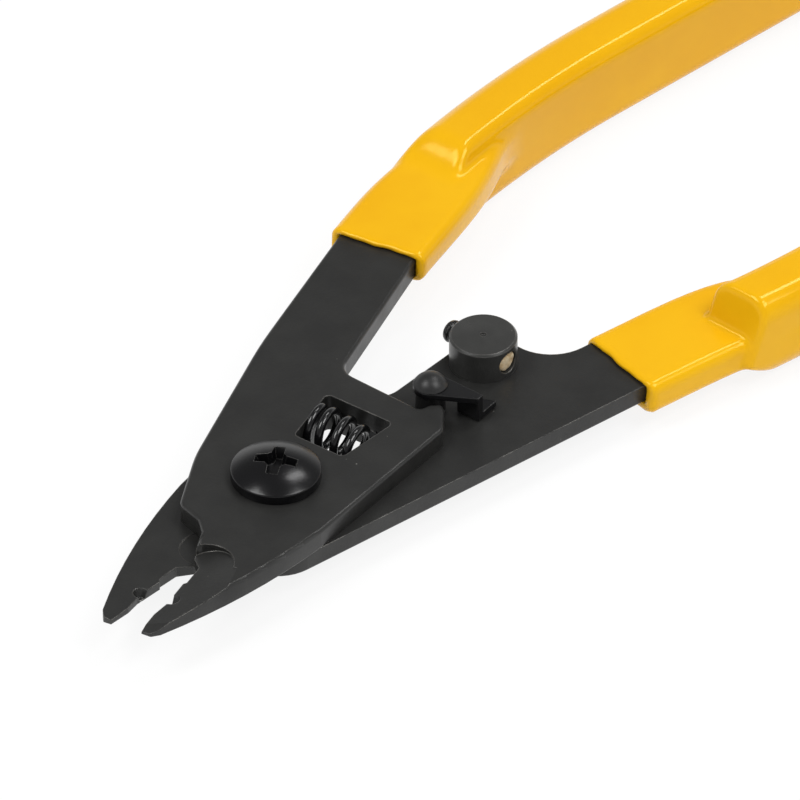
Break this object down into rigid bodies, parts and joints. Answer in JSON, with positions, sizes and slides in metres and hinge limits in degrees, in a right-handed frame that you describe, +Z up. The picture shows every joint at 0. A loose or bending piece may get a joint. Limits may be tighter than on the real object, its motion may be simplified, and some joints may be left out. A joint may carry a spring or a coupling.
{
  "type": "fibre stripper",
  "caption": "Scissor-style fibre stripper: two stamped plates cross at a pivot screw, with notched blades, an opening spring, a stop post, a lock lever and dipped grips.",
  "frame": {"origin": "on the pivot axis, in the plane the tool lies on (the nut's lower face)", "axes": "+X from the pivot along the handles, so the jaws point to -X, +Z up along the pivot axis towards the screw's head; the half that lies on top has its handle on the +Y side"},
  "size_m": [0.163, 0.0693, 0.0124],
  "materials": {
    "blackened_steel": "satin",
    "black_hardware": "satin",
    "lever_steel": "satin",
    "spring_steel": "gloss",
    "set_screw": "satin",
    "seal": "matte",
    "vinyl": "gloss"
  },
  "bodies": {
    "lower_half": {"lower_plate": "blackened_steel", "lower_grip": "vinyl", "stop_post": "black_hardware", "stop_screw": "set_screw", "screw_seal": "seal", "lock_rivet": "black_hardware", "pivot_screw": "black_hardware", "pivot_washer": "black_hardware", "pivot_nut": "black_hardware", "opening_spring": "spring_steel"},
    "upper_half": {"upper_plate": "blackened_steel", "upper_grip": "vinyl"},
    "lock": {"lock_lever": "lever_steel"}
  },
  "joints": [
    {"name": "handle_pivot", "type": "hinge", "parent": "lower_half", "child": "upper_half", "pos_m": [0, 0, 0.00617], "axis": [0, 0, 1], "range_deg": [-13.8, 0], "stiffness_Nm_per_rad": 3.5, "springref_deg": 3.44, "deforming": ["opening_spring"]},
    {"name": "lever_pivot", "type": "hinge", "parent": "lower_half", "child": "lock", "pos_m": [0.02503, -0.00589, 0.0094], "axis": [0, 0, 1], "range_deg": [-44, 0]}
  ]
}
